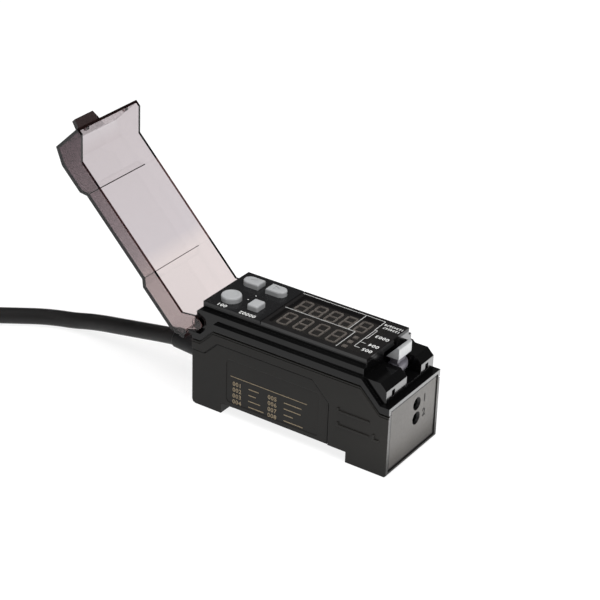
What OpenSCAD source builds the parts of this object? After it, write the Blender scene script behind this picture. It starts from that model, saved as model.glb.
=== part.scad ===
// Fibre amplifier for a rail, with a hinged see-through cover, in millimetres.
// Every piece is drawn with x from the cable end, y from the middle and z from the feet.
// It is then moved so that the origin is the middle of the seat that lies on the rail.

/* [Case] */
// Length of the case
body_l = 55; // [54:0.5:60]
// Width of the case
body_w = 22.5; // [22:0.5:26]
// Height of the case's rim above its feet
rim_h = 23.5; // [23:0.25:26]
// How far the rim steps down at the cable end
rear_drop = 3.8; // [3.4:0.1:4.2]
// How far the rim steps down at the fibre end
front_drop = 5.3; // [5:0.1:5.8]
// Length of the low rim at the cable end
rear_flat = 2.4; // [2.2:0.1:3]
// Length of the low rim at the fibre end
front_flat = 2.5; // [2.2:0.1:3]
// Height of the upper case's band, from the rim to the parting line
band_h = 1.75; // [1.5:0.05:2.2]
// Wall of the mouldings
wall = 1.2; // [1:0.05:1.4]
// Depth and height of the groove along the parting line
seam = 0.45; // [0.3:0.05:0.5]
// Depth of the step in the side walls
side_step = 0.25; // [0.15:0.05:0.35]

/* [Rail seat] */
// Width of the recess that takes the rail
rail_w = 35.5; // [35.2:0.1:36.5]
// Height of that recess
recess_h = 2.8; // [2.6:0.1:3.4]
// Length of the foot at the cable end
rear_foot_l = 8.55; // [8:0.05:9.5]
// How far the hooks reach under the rail
hook_reach = 1.3; // [0.8:0.1:1.6]

/* [Panel and shoulder] */
// Height of the shoulder above the rim
shoulder_rise = 2.1; // [1.8:0.05:2.3]
// Height of the panel above the rim
panel_rise = 4; // [3.8:0.1:4.6]
// Gap between the side of the case and the shoulder
shoulder_in = 0.95; // [0.9:0.05:1.3]
// Gap between the side of the case and the panel
panel_in = 2.1; // [1.9:0.05:2.4]
// Thickness of the key panel and of the window
panel_t = 0.8; // [0.7:0.05:0.9]
// Width of the groove between the key panel and the window
split_w = 0.25; // [0.15:0.05:0.4]

/* [Keys] */
// How far the keys stand above the panel
key_proud = 1.35; // [1:0.05:1.4]
// Distance from the cable end to the first keys
key_x = 6.5; // [6.4:0.1:7]
// Distance between the two columns of keys
key_pitch_x = 7.1; // [7:0.1:7.4]
// Distance between the two rows of keys
key_pitch_y = 8.8; // [8.4:0.1:9.2]
// Diameter of the round key
round_key_d = 5; // [4.8:0.1:5.6]
// Length of the arrow keys
arrow_l = 4.9; // [4.4:0.1:5]
// Width of the arrow keys
arrow_w = 3.3; // [3.2:0.1:3.8]
// Length of the square key
square_l = 3; // [2.8:0.1:3.3]
// Width of the square key
square_w = 3.6; // [3.4:0.1:3.8]
// Gap round each key
key_gap = 0.12; // [0.08:0.02:0.2]
// How far each key travels
key_travel = 0.35; // [0.2:0.05:0.35]

/* [Display] */
// Width of one digit
digit_w = 2.5; // [2.2:0.1:2.8]
// Height of one digit
digit_h = 5.1; // [4.6:0.1:5.3]

/* [Fibre ports] */
// Distance of both ports from the middle of the case
port_y = 1.6; // [0:0.1:2]
// Height of the upper port above the feet
port_z = 13.45; // [13:0.05:14]
// Distance between the two ports
port_pitch = 3.87; // [3.7:0.05:4.1]
// Diameter of each port's bore
port_d = 2.3; // [2.25:0.05:2.5]
// Depth that a fibre goes in
port_depth = 12.4; // [11:0.1:13]

/* [Lock lever] */
// Height of the lever's pin above the feet
lever_z = 21.8; // [21.6:0.05:21.9]
// Width of the lever
lever_w = 5.6; // [5:0.1:6]
// Radius of the lever's hub
hub_r = 1.75; // [1.6:0.05:1.8]
// Diameter of the lever's pin
lever_pin_d = 1.4; // [1.2:0.1:1.6]

/* [Cover] */
// Wall of the cover
cover_t = 0.7; // [0.6:0.05:0.75]
// Angle between the closed cover and the open one
cover_open = 134; // [120:1:134]
// Width of the finger tab
tab_w = 8.5; // [6:0.5:10]
// How far the finger tab stands out
tab_out = 3.5; // [2.8:0.1:3.8]
// Diameter of the hinge pins
hinge_pin_d = 1.1; // [1:0.05:1.2]

/* [Cable] */
// Diameter of the cable
cable_d = 4.2; // [4.1:0.1:4.3]
// Height of the cable's exit above the feet
exit_z = 8.4; // [8.3:0.1:8.5]
// Length of the tapered boot outside the case
boot_l = 13; // [13:0.5:14]

/* [Hidden] */
$fn = 48;
tiny = 0.01;
fit = 0.05;
slack = 0.15;

// Heights and lengths that several pieces share
rear_rim_z = rim_h - rear_drop;
front_rim_z = rim_h - front_drop;
shoulder_z = rim_h + shoulder_rise;
panel_z = rim_h + panel_rise;
bed_z = panel_z - panel_t;
half_w = body_w / 2;
shoulder_hw = half_w - shoulder_in;
panel_hw = half_w - panel_in;
panel_x0 = 1.8;
panel_x1 = body_l - 7.8;
split_x = key_x + 11.6;
tower_x = body_l - 1.5;
tower_chamfer = 1.7;
inner_hw = half_w - wall;
cavity_z = recess_h + wall;
rail_x = rear_foot_l + rail_w / 2;

// The rim, from the cable end to the fibre end, and the parting line below it
rim_line = [[0, rear_rim_z], [rear_flat, rear_rim_z], [rear_flat + rear_drop, rim_h],
    [body_l - front_flat - front_drop, rim_h], [body_l - front_flat, front_rim_z],
    [body_l, front_rim_z]];
seam_line = lowered(rim_line, band_h);
front_seam_z = front_rim_z - band_h;

// The end plate and its opening in the frame
frame_lip = 0.9;
plate_gap = 0.2;
plate_t = 1.4;
plate_set_in = 0.2;
plate_x = body_l - plate_set_in - plate_t;
opening_z = front_rim_z - frame_lip;
port_mouth_r = 1.65;
port_sink = 0.6;

// The keys
key_y = key_pitch_y / 2;
key_x2 = key_x + key_pitch_x;
key_top = panel_z + key_proud;
key_round = 0.4;
key_corner = 0.45;
dish = 0.15;
flange_w = 0.45;
flange_t = 0.6;
flange_z = bed_z - 0.2 - flange_t;
slab_z = bed_z - wall;
board_t = 1;
board_z = slab_z - 3.9;
board_y = -half_w + wall + 2;
board_x0 = wall * 2 + 0.7;
switch_h = 1.6;
plunger_h = 0.3;
key_foot_z = board_z + board_t + switch_h + plunger_h + key_travel + fit;

// The display
digit_top = bed_z - 0.2;
module_x0 = split_x + 1.1;
module_l = panel_x1 - module_x0 - 2.9;
lamp_room = 7.1;
digit_pitch = (module_l - lamp_room) / 4;
module_hw = 7.7;
segment_w = 0.42;
segment_t = 0.1;
slant = 0.06;
digit_x0 = module_x0 + 1;
row_y = 2.95;

// The fibre block, its gate and the lever
lever_x = tower_x - 4.5;
cam_lift = 0.2;
cam_gap = 0.35;
gate_t = 1.6;
gate_hw = 2.6;
gate_z0 = port_z - port_pitch - 2.6;
gate_top = lever_z - hub_r - cam_lift - cam_gap;
gate_hole_r = port_d / 2 + 0.2;
gate_press = 0.2;
block_hw = 4.5;
block_x1 = plate_x;
block_x0 = block_x1 - port_depth - 2;
block_top = front_seam_z - 0.15;
led_r = 1.5;
notch_hw = lever_w / 2 + 0.4;
notch_x0 = lever_x - hub_r - 0.3;
notch_z = lever_z - hub_r - cam_lift - 0.45;
pin_reach = 2;

// The cover's hinge
hinge_x = 1.25;
hinge_z = rim_h - 1.5;
knuckle_r = 1.5;
knuckle_t = 1.25;
pocket_r = 2.25;
pocket_t = knuckle_t + 0.15;
hinge_pin_l = 1.3;
stop_reach = 1.1;

// The catches that hold the closed cover on the towers
catch_w = 1.3;
catch_y = 7.3;
catch_z = front_rim_z + 2.1;

// The cover's outline when it is closed
cover_rim_z = rim_h + 0.6;
front_lip_z = front_rim_z + 0.95;
front_lip_l = 1.75;
cover_x1 = body_l - 0.25;
roof_z = panel_z + 1.3;
bump_z = panel_z + 2.65;
bump_rise = bump_z - roof_z;
rear_bump_x1 = key_x2 + arrow_l / 2 - 0.45;
front_bump_x0 = panel_x1 - 4.5;
nose = 1.9;
tail = 1.85;
lip_slope = cover_rim_z - front_lip_z;
cover_outline = [[hinge_x + 4.15, cover_rim_z], [cover_x1 - front_lip_l - lip_slope, cover_rim_z],
    [cover_x1 - front_lip_l, front_lip_z], [cover_x1, front_lip_z], [cover_x1, bump_z - nose],
    [cover_x1 - 4.4, bump_z],
    [front_bump_x0, bump_z], [front_bump_x0 - 1.7, roof_z], [rear_bump_x1 + 1.7, roof_z],
    [rear_bump_x1, bump_z], [hinge_x + 2.6, bump_z], [hinge_x - 1.15, bump_z - tail],
    [hinge_x + 0.25, hinge_z + 3.3], [hinge_x - knuckle_r, hinge_z], [hinge_x, hinge_z - knuckle_r],
    [hinge_x + 1.8, hinge_z - 0.9]];
// The space inside it, a wall thickness within the roof and open below
lip_z = hinge_z + 4.6;
cover_space = [[cover_x1 - cover_t, -tiny], [cover_x1 - cover_t, bump_z - nose - 0.3],
    [cover_x1 - 4.7, bump_z - cover_t], [front_bump_x0 + 0.2, bump_z - cover_t],
    [front_bump_x0 - 1.5, roof_z - cover_t], [rear_bump_x1 + 1.5, roof_z - cover_t],
    [rear_bump_x1 - 0.2, bump_z - cover_t], [hinge_x + 2.75, bump_z - cover_t],
    [hinge_x - 0.2, bump_z - tail - 0.4], [hinge_x + 0.4, lip_z], [-body_l, lip_z], [-body_l, -tiny]];

// The cable's route behind the boot, laid by hand, and the long coil that ends it
coil_x = -100;
coil_y = -7.6;
coil_l = 77;
coil_r = 14.7;
columns = 2;
rows = 5;
cable_r = cable_d / 2;
route = [[-boot_l, 0, exit_z], [-boot_l - 0.5, 0, exit_z], [-17, 0, 7.9], [-21, 0, 7.2],
    [-26, 0, 6.3], [-31, 0, 5.4],
    [-36, 0, 4.5], [-41, 0, 3.4], [-45.5, -0.4, 2.4], [-50, -1.6, cable_r], [-54, -3.6, cable_r],
    [-58, -6.2, cable_r], [-62, -8.9, cable_r], [-67, -12.2, cable_r], [-72, -15.4, cable_r],
    [-77, -18.3, cable_r], [-82, -20.8, cable_r], [-88, -22.9, cable_r], [-94, -24.1, cable_r],
    [-100, -24.4, cable_r]];
cable_sides = 8;
lead_count = 8;
lead_r = 0.5;
lead_l = 24;

function lowered(points, by) = [for (p = points) [p[0], p[1] - by]];
function backwards(points) = [for (i = [len(points) - 1:-1:0]) points[i]];
function unit(v) = v / norm(v);
// Direction of the route at one of its points
function heading(p, i) = unit(p[min(i + 1, len(p) - 1)] - p[max(i - 1, 0)]);
// One ring of a round tube, square to the route there
function tube_ring(p, i, r, n) =
    let (u = heading(p, i), side = unit(cross([0, 0, 1], u)), up = cross(u, side))
    [for (k = [0:n - 1]) p[i] + r * (cos(360 * k / n) * side + sin(360 * k / n) * up)];

// Moves a piece from the drawing's corner to the part's own origin
module in_frame() {
    translate([-rail_x, 0, -recess_h]) children();
}

// Extrudes a side outline across the part, about the plane y = at
module across(width, at = 0) {
    translate([0, at, 0]) rotate([90, 0, 0]) linear_extrude(width, center = true) children();
}

// A plate between two corners
module plate(low, high) {
    translate(low) cube(high - low);
}

// A rod across the part
module rod_y(x, z, r, y0, y1) {
    translate([x, y0, z]) rotate([-90, 0, 0]) cylinder(h = y1 - y0, r = r);
}

// A rod along the part
module rod_x(y, z, r, x0, x1) {
    translate([x0, y, z]) rotate([0, 90, 0]) cylinder(h = x1 - x0, r = r);
}

// A rectangle with round corners
module round_rect(low, high, r) {
    translate([low[0] + r, low[1]]) square([high[0] - low[0] - 2 * r, high[1] - low[1]]);
    translate([low[0], low[1] + r]) square([high[0] - low[0], high[1] - low[1] - 2 * r]);
    for (x = [low[0] + r, high[0] - r], y = [low[1] + r, high[1] - r])
        translate([x, y]) circle(r);
}

// A raised bar on one side wall, between two corners in the side view
module side_bar(side, out, low, high) {
    plate([low[0], side > 0 ? half_w - tiny : -half_w - out, low[1]],
        [high[0], side > 0 ? half_w + out : -half_w + tiny, high[1]]);
}

module lower_case() {
    foot_r = 1;
    step_line = [[-1, 15.05], [3.6, 15.05], [7.25, 18.7], [34.3, 18.7], [39.05, 13.95], [39.05, -1],
        [-1, -1]];
    label_l = 26.3;
    label_h = 11.6;
    label_low = [rear_foot_l + 1.45, 3.9];
    label_high = label_low + [label_l, label_h];
    label_deep = 0.12;
    step_gap = 0.3;
    line_gap = 0.3;
    line_w = 0.2;
    bar_x = 41.4;
    bar_l = 8.6;
    bar_t = 0.5;
    bar_out = 0.25;
    tick_h = 1.1;
    mark_x = body_l - 4;
    mark_z = 8.7;
    mark_l = 1.7;
    corner = 0.4;
    hook_t = 0.8;
    hook_z = 0.3;
    hook_hw = 7.5;
    hook_relief = 0.3;
    tongue_l = 3.4;
    tongue_t = 0.55;
    boot_hole_r = 3.1;
    guide_y = board_y;
    guide_x = 6;
    guide_l = 28;
    color("#2b2b2c") in_frame() {
        difference() {
            across(body_w) difference() {
                polygon(concat(backwards(seam_line), [[0, foot_r], [foot_r * 0.3, foot_r * 0.3],
                    [foot_r, 0], [rear_foot_l, 0], [rear_foot_l, recess_h],
                    [rear_foot_l + rail_w, recess_h], [rear_foot_l + rail_w, 0],
                    [body_l - corner, 0], [body_l, corner]]));
            }
            // The hollow, open to the upper case
            plate([wall, -inner_hw, cavity_z], [body_l - wall - plate_t, inner_hw, rim_h]);
            // The opening for the end plate
            plate([plate_x - slack, -half_w + frame_lip, frame_lip],
                [body_l + 1, half_w - frame_lip, rim_h]);
            // The opening for the fibre block
            plate([body_l - wall - plate_t - 1, port_y - block_hw - slack, cavity_z],
                [plate_x, port_y + block_hw + slack, rim_h]);
            // The groove along the parting line, and the finer one under it
            for (side = [-1, 1]) {
                across(seam * 2, side * half_w)
                    polygon(concat(seam_line, backwards(lowered(seam_line, seam))));
                across(seam, side * half_w)
                    polygon(concat(lowered(seam_line, seam + line_gap),
                        backwards(lowered(seam_line, seam + line_gap + line_w))));
            }
            // The step in the side walls, and the groove along its edge
            for (side = [-1, 1]) {
                across(side_step * 2, side * half_w) polygon(step_line);
                across((side_step + step_gap) * 2, side * half_w) difference() {
                    polygon(step_line);
                    offset(delta = -step_gap) polygon(step_line);
                }
            }
            // The field for the label
            across((side_step + label_deep) * 2, -half_w) round_rect(label_low, label_high, 1);
            // The relief over the hook at the fibre end
            plate([rear_foot_l + rail_w - hook_reach - hook_relief, -hook_hw - hook_relief, 0],
                [rear_foot_l + rail_w, hook_hw + hook_relief, recess_h + hook_relief]);
            // The hole for the cable's boot
            rod_x(0, exit_z, boot_hole_r, -1, wall + 1);
        }
        // The hooks that grip the rail, and the tongue behind the first one
        plate([rear_foot_l - tiny, -hook_hw, hook_z], [rear_foot_l + hook_reach, hook_hw, hook_z + hook_t]);
        plate([rear_foot_l + rail_w - hook_reach, -hook_hw, hook_z],
            [rear_foot_l + rail_w + tiny, hook_hw, hook_z + hook_t]);
        plate([rear_foot_l - tiny, -half_w + 0.9, recess_h - tongue_t],
            [rear_foot_l + tongue_l, half_w - 0.9, recess_h + tiny]);
        // The raised bars on the sides, each with a tick, and the corner mark beside them
        for (side = [-1, 1]) {
            for (z = [12.8, 9]) {
                side_bar(side, bar_out, [bar_x, z], [bar_x + bar_l, z + bar_t]);
                side_bar(side, bar_out, [bar_x, z], [bar_x + bar_t, z + tick_h]);
            }
            side_bar(side, bar_out, [mark_x, mark_z], [mark_x + mark_l, mark_z + bar_t]);
            side_bar(side, bar_out, [mark_x, mark_z], [mark_x + bar_t, mark_z + tick_h + bar_t]);
        }
        // The guides that hold the main board
        for (y = [guide_y - 0.1 - 0.8, guide_y + board_t + 0.1])
            plate([guide_x, y, cavity_z - tiny], [guide_x + guide_l, y + 0.8, cavity_z + 1.5]);
    }
}

module upper_case() {
    cheek_x = 0.15;
    block_line = [[cheek_x, rear_rim_z - band_h], [cheek_x, rim_h], [0.75, rim_h + 0.6],
        [0.75, shoulder_z - 0.6], [1.35, shoulder_z], [panel_x1, shoulder_z], [panel_x1, rim_h],
        [tower_x - tower_chamfer, rim_h], [tower_x, rim_h - tower_chamfer], [tower_x, front_seam_z],
        [body_l - front_flat, front_seam_z], [body_l - front_flat - front_drop, rim_h - band_h],
        [rear_flat + rear_drop, rim_h - band_h], [rear_flat, rear_rim_z - band_h]];
    hollow_x1 = notch_x0 - wall;
    post_r = 0.7;
    color("#161617") in_frame() difference() {
        union() {
            // The band and the deck at the rim
            across(body_w) polygon(concat(rim_line, backwards(seam_line)));
            // The shoulder and the two towers
            across(2 * shoulder_hw) polygon(block_line);
            // The bed under the panel
            plate([panel_x0, -panel_hw, shoulder_z - tiny], [panel_x1, panel_hw, bed_z]);
            // The block under the towers, inside the lower case
            plate([notch_x0 - wall, -inner_hw + slack, block_top + 0.2],
                [plate_x - slack * 2, inner_hw - slack, rim_h - band_h]);
            // The lugs that stop the open cover
            for (side = [-1, 1])
                plate([-stop_reach, side * (half_w - 0.85) - 0.8, rear_rim_z - 0.9],
                    [cheek_x + 1, side * (half_w - 0.85) + 0.8, rear_rim_z + 0.05]);
        }
        // The hollow, open to the lower case
        plate([wall * 2, -inner_hw + 1.5, 0], [hollow_x1, inner_hw - 1.5, slab_z]);
        // The opening for the display
        plate([module_x0 - slack, -module_hw - slack, slab_z - 1],
            [module_x0 + module_l + slack, module_hw + slack, panel_z]);
        // The openings under the keys
        for (k = key_places)
            translate([k[0], k[1], slab_z - 1]) linear_extrude(wall + 2)
                key_outline(k[2], flange_w + slack * 2);
        // The notch for the lever
        plate([notch_x0, port_y - notch_hw, notch_z], [body_l + 1, port_y + notch_hw, rim_h + 9]);
        plate([lever_x - gate_t / 2 - 0.1, port_y - gate_hw - 0.1, 0],
            [lever_x + gate_t / 2 + 0.1, port_y + gate_hw + 0.1, notch_z + 1]);
        rod_y(lever_x, lever_z, lever_pin_d / 2 + tiny, port_y - notch_hw - pin_reach, half_w);
        // The seat of the end plate
        plate([plate_x - slack, -half_w + frame_lip, 0], [body_l + 1, half_w - frame_lip, opening_z]);
        // The hinge's pockets and bores
        for (side = [-1, 1]) {
            mirror([0, side > 0 ? 1 : 0, 0]) {
                rod_y(hinge_x, hinge_z, pocket_r, -half_w - 1, -half_w + pocket_t);
                rod_y(hinge_x, hinge_z, hinge_pin_d / 2 + fit, -half_w,
                    -half_w + pocket_t + hinge_pin_l + 0.2);
            }
        }
        // The notches that the cover's catches snap into
        for (side = [-1, 1])
            plate([tower_x - 0.6, side * catch_y - catch_w / 2, catch_z - 0.8],
                [tower_x + 1, side * catch_y + catch_w / 2, catch_z + 0.8]);
    }
    // The posts that the display board hangs from
    color("#161617") in_frame()
        for (x = [4.2, module_x0 + module_l - 2], y = [-1, 1])
            translate([x, y * (module_hw + 0.9), board_z + board_t])
                cylinder(h = slab_z - board_z - board_t + tiny, r = post_r, $fn = 24);
}

module end_plate() {
    color("#1b1b1c") in_frame() difference() {
        plate([plate_x, -half_w + frame_lip + plate_gap, frame_lip + plate_gap],
            [plate_x + plate_t, half_w - frame_lip - plate_gap, opening_z - plate_gap]);
        for (z = [port_z, port_z - port_pitch]) {
            rod_x(port_y, z, port_d / 2, plate_x - 1, body_l);
            translate([plate_x + plate_t - port_sink, port_y, z]) rotate([0, 90, 0])
                cylinder(h = port_sink + tiny, r1 = port_d / 2, r2 = port_mouth_r + tiny);
        }
    }
}

// The four keys: place, row and outline, where 0 is round, 1 square, 2 and 3 are arrows
key_places = [[key_x, -key_y, 0], [key_x2, -key_y, 1], [key_x, key_y, 2], [key_x2, key_y, 3]];

// The arrow in an arrow key's top, as shares of the key's length
arrow_mark = [[-0.2, -0.16], [0.16, 0], [-0.2, 0.16]];

// The outline of a key, grown by a margin
module key_outline(kind, grow = 0) {
    tip = arrow_w / 2;
    if (kind == 0) circle(round_key_d / 2 + grow);
    if (kind == 1)
        offset(r = key_corner + grow)
            square([square_l - 2 * key_corner, square_w - 2 * key_corner], center = true);
    if (kind > 1)
        mirror([kind == 2 ? 1 : 0, 0]) {
            translate([-arrow_l / 2 - grow, -tip - grow]) square([arrow_l - tip + grow, arrow_w + 2 * grow]);
            translate([arrow_l / 2 - tip, 0]) circle(tip + grow);
        }
}

module key_panel() {
    color("#1d1d1f") in_frame() difference() {
        plate([panel_x0, -panel_hw, bed_z], [split_x - split_w / 2, panel_hw, panel_z]);
        for (k = key_places)
            translate([k[0], k[1], bed_z - 1]) linear_extrude(panel_t + 2) key_outline(k[2], key_gap);
    }
}

module display_window() {
    color([0.12, 0.11, 0.11, 0.75]) in_frame()
        plate([split_x + split_w / 2, -panel_hw, bed_z], [panel_x1, panel_hw, panel_z]);
}

// One key, with a flange under the panel and a foot over its switch
module key(k) {
    color("#c9cac9") in_frame() translate([k[0], k[1], 0]) {
        difference() {
            hull() {
                translate([0, 0, flange_z]) linear_extrude(key_top - key_round - flange_z) key_outline(k[2]);
                translate([0, 0, panel_z]) linear_extrude(key_proud - key_round * 0.3)
                    key_outline(k[2], -key_round * 0.3);
                translate([0, 0, panel_z]) linear_extrude(key_proud) key_outline(k[2], -key_round);
            }
            // The dish or the arrow sunk in the top
            translate([0, 0, key_top - dish]) {
                if (k[2] == 0)
                    cylinder(h = dish + tiny, r1 = round_key_d / 2 - 1, r2 = round_key_d / 2 - 0.7);
                if (k[2] > 1)
                    linear_extrude(dish + tiny) mirror([k[2] == 2 ? 1 : 0, 0]) polygon(arrow_l * arrow_mark);
            }
        }
        translate([0, 0, flange_z]) linear_extrude(flange_t) key_outline(k[2], flange_w);
        translate([0, 0, key_foot_z]) cylinder(h = flange_z - key_foot_z + tiny, r = 1);
    }
}

module set_key() { key(key_places[0]); }
module mode_key() { key(key_places[1]); }
module left_key() { key(key_places[2]); }
module right_key() { key(key_places[3]); }

module key_switches() {
    switch_w = 3;
    color("#8f9194") in_frame() for (k = key_places) translate([k[0], k[1], board_z + board_t]) {
        translate([-switch_w / 2, -switch_w / 2, 0]) cube([switch_w, switch_w, switch_h]);
        cylinder(h = switch_h + plunger_h, r = 0.8);
    }
}

module display_module() {
    color("#3a3634") in_frame()
        plate([module_x0, -module_hw, board_z + board_t],
            [module_x0 + module_l, module_hw, digit_top - segment_t]);
}

// A bar of a digit, from one point to another, with pointed ends
module segment(from, to) {
    u = unit(to - from);
    n = [-u[1], u[0]] * segment_w / 2;
    a = from + u * segment_w * 0.6;
    b = to - u * segment_w * 0.6;
    tip = u * segment_w / 2;
    polygon([a - tip, a + n, b + n, b + tip, b - n, a - n]);
}

// A seven-bar digit with its lower corner at the origin
module digit() {
    w = digit_w;
    h = digit_h / 2;
    lean = slant * h;
    corner = [for (row = [0:2], col = [0:1]) [col * w + row * lean, row * h]];
    for (s = [[0, 1], [2, 3], [4, 5], [0, 2], [2, 4], [1, 3], [3, 5]])
        segment(corner[s[0]], corner[s[1]]);
}

module display_digits() {
    lamp_w = 1.1;
    color("#8d8078") in_frame() translate([0, 0, digit_top - segment_t]) linear_extrude(segment_t) {
        for (row = [0, 1], i = [0:3 + row])
            translate([digit_x0 + i * digit_pitch + (i == 4 ? 0.3 : 0), (2 * row - 1) * row_y - digit_h / 2])
                digit();
        for (i = [-1:1])
            translate([digit_x0 + 4 * digit_pitch + 0.55, -row_y + 0.15 + i * 2.4])
                square(lamp_w, center = true);
    }
}

module display_board() {
    color("#1f4a33") in_frame()
        plate([board_x0, -inner_hw + 1.8, board_z],
            [notch_x0 - wall - 0.4, inner_hw - 1.8, board_z + board_t]);
}

module main_board() {
    color("#1f4a33") in_frame()
        plate([board_x0, board_y, cavity_z], [block_x0 + 6, board_y + board_t, board_z - 0.8]);
}

module board_header() {
    header_l = 10;
    header_w = 2.4;
    header_h = 3.6;
    x0 = rail_x - header_l / 2;
    color("#202022") in_frame()
        plate([x0, board_y + board_t, board_z - header_h],
            [x0 + header_l, board_y + board_t + header_w, board_z]);
}

module board_components() {
    chip = [7, 1.1, 5];
    driver = [4.5, 1.6, 4.5];
    coil = [3, 2.2, 2.4];
    can_h = 4.5;
    can_r = 2;
    can_pitch = 21;
    small = [1.6, 0.6, 0.9];
    small_pitch = 2.4;
    first_gap = 5;
    second_gap = 3;
    x0 = board_x0 + first_gap;
    x1 = x0 + chip[0] + second_gap;
    face_y = board_y + board_t;
    low_z = cavity_z + 2.5;
    high_z = board_z - 2 * driver[2] - small[1];
    color("#3b3b3d") in_frame() {
        translate([x0, face_y, high_z]) cube(chip);
        translate([x1 - small[1], face_y, low_z]) cube(driver);
        translate([x1 + driver[0] + coil[1], face_y, low_z + 0.5]) cube(coil);
        for (x = [x0 + second_gap, x0 + second_gap + can_pitch])
            translate([x, face_y, low_z + 1.5]) rotate([-90, 0, 0]) cylinder(h = can_h, r = can_r);
        for (i = [0:5])
            translate([x1 + i * small_pitch, face_y, high_z + can_r]) cube(small);
    }
}

module optics_board() {
    color("#1f4a33") in_frame()
        plate([block_x0 - 1, port_y - 3.6, cavity_z], [block_x0, port_y + 3.6, block_top - 0.5]);
}

module fibre_block() {
    color("#4a4a4c") in_frame() difference() {
        plate([block_x0, port_y - block_hw, cavity_z], [block_x1, port_y + block_hw, block_top]);
        for (z = [port_z, port_z - port_pitch]) {
            rod_x(port_y, z, port_d / 2, block_x1 - port_depth, block_x1 + 1);
            rod_x(port_y, z, led_r + fit, block_x0 - 1, block_x1 - port_depth + tiny);
        }
        plate([lever_x - gate_t / 2 - 0.1, port_y - gate_hw - 0.1, gate_z0 - 0.5],
            [lever_x + gate_t / 2 + 0.1, port_y + gate_hw + 0.1, block_top + 1]);
    }
}

// A light part behind a bore: a round body with a domed lens
module light_part(z) {
    dome = 0.6;
    in_frame() translate([block_x0, port_y, z]) rotate([0, 90, 0]) rotate_extrude()
        polygon(concat([[0, 0], [led_r, 0], [led_r, 1.2]],
            [for (a = [0:15:90]) [led_r * cos(a) * 0.7, 1.2 + dome * sin(a)]]));
}

module emitter_led() { color("#e8e6df") light_part(port_z - port_pitch); }
module colour_receiver() { color("#55585f") light_part(port_z); }

module fibre_gate() {
    color("#6d6f73") in_frame() difference() {
        plate([lever_x - gate_t / 2, port_y - gate_hw, gate_z0],
            [lever_x + gate_t / 2, port_y + gate_hw, gate_top]);
        for (z = [port_z, port_z - port_pitch])
            rod_x(port_y, z - gate_press + 0.05, gate_hole_r, lever_x - gate_t, lever_x + gate_t);
    }
}

module lock_lever() {
    front_x = lever_x + hub_r + 0.1;
    rear_x = panel_x1 + 0.4;
    neck_z = lever_z + 3;
    head_h = 2.9;
    stem_w = 3.6;
    stem_x = front_x - 0.8;
    collar_r = 1.15;
    head = [[rear_x - 0.1, neck_z], [front_x - 0.7, neck_z + head_h], [front_x - 0.2, neck_z + head_h],
        [front_x, neck_z + head_h - 0.3], [front_x, neck_z]];
    stem = [[rear_x + 0.5, neck_z + tiny], [rear_x + 0.5, lever_z], [stem_x, lever_z],
        [stem_x, neck_z + tiny]];
    color("#bfc1c2") in_frame() difference() {
        union() {
            across(lever_w, port_y) polygon(head);
            across(stem_w, port_y) polygon(stem);
            // The hub, the collars that keep it in the middle, and the cam
            rod_y(lever_x, lever_z, hub_r, port_y - stem_w / 2, port_y + stem_w / 2);
            rod_y(lever_x, lever_z, collar_r, port_y - lever_w / 2, port_y + lever_w / 2);
            rod_y(lever_x, lever_z - cam_lift, hub_r, port_y - 1.2, port_y + 1.2);
        }
        rod_y(lever_x, lever_z, lever_pin_d / 2 + fit, port_y - lever_w, port_y + lever_w);
    }
}

module lever_pin() {
    color("#b9bcc0") in_frame()
        rod_y(lever_x, lever_z, lever_pin_d / 2, port_y - notch_hw - pin_reach, shoulder_hw - 0.4);
}

module cover() {
    inner_w = body_w - 2 * cover_t;
    tab_z = roof_z - 3;
    tab_t = 1.2;
    tab_neck = 0.9;
    tab_flare = 1.2;
    color([0.45, 0.39, 0.41, 0.45]) in_frame()
        translate([hinge_x, 0, hinge_z]) rotate([0, -cover_open, 0]) translate([-hinge_x, 0, -hinge_z]) {
            difference() {
                across(body_w) polygon(cover_outline);
                across(inner_w) polygon(cover_space);
                rod_y(hinge_x, hinge_z, knuckle_r + 0.6, -half_w + knuckle_t, half_w - knuckle_t);
            }
            // The finger tab on the front wall, and the flare that stiffens it from above
            translate([0, 0, tab_z]) linear_extrude(tab_t)
                polygon([[cover_x1 - tiny, -tab_w / 2], [cover_x1 + tab_out, -tab_w / 2 + tab_neck],
                    [cover_x1 + tab_out, tab_w / 2 - tab_neck], [cover_x1 - tiny, tab_w / 2]]);
            across(tab_w - 2 * tab_neck)
                polygon([[cover_x1 - tiny, tab_z + tiny], [cover_x1 + tab_out / 2, tab_z + tiny],
                    [cover_x1 + tab_out / 2, tab_z + tab_t], [cover_x1 - tiny, tab_z + tab_t + tab_flare]]);
            // The catches inside the front wall
            for (side = [-1, 1])
                across(catch_w - 0.3, side * catch_y)
                    polygon([[cover_x1 - cover_t + tiny, catch_z - 0.7],
                        [cover_x1 - cover_t + tiny, catch_z + 0.7], [tower_x + 0.1, catch_z + 0.1],
                        [tower_x + 0.1, catch_z - 0.1]]);
            // The knuckles and their pins
            for (side = [-1, 1]) mirror([0, side > 0 ? 1 : 0, 0]) {
                rod_y(hinge_x, hinge_z, knuckle_r, -half_w, -half_w + knuckle_t);
                rod_y(hinge_x, hinge_z, hinge_pin_d / 2, -half_w + knuckle_t - tiny,
                    -half_w + pocket_t + hinge_pin_l);
            }
        }
}

module strain_relief() {
    flange_r = 4;
    neck_r = 3.05;
    tip_r = cable_r + 0.3;
    color("#141414") in_frame() translate([0, 0, exit_z]) rotate([0, -90, 0]) rotate_extrude()
        polygon([[0, -wall - 1], [flange_r, -wall - 1], [flange_r, -wall], [neck_r, -wall], [neck_r, 0],
            [neck_r + 0.35, 0], [neck_r + 0.35, 0.8], [neck_r, 1.2], [tip_r, boot_l - 0.3],
            [tip_r - 0.25, boot_l], [0, boot_l]]);
}

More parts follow.
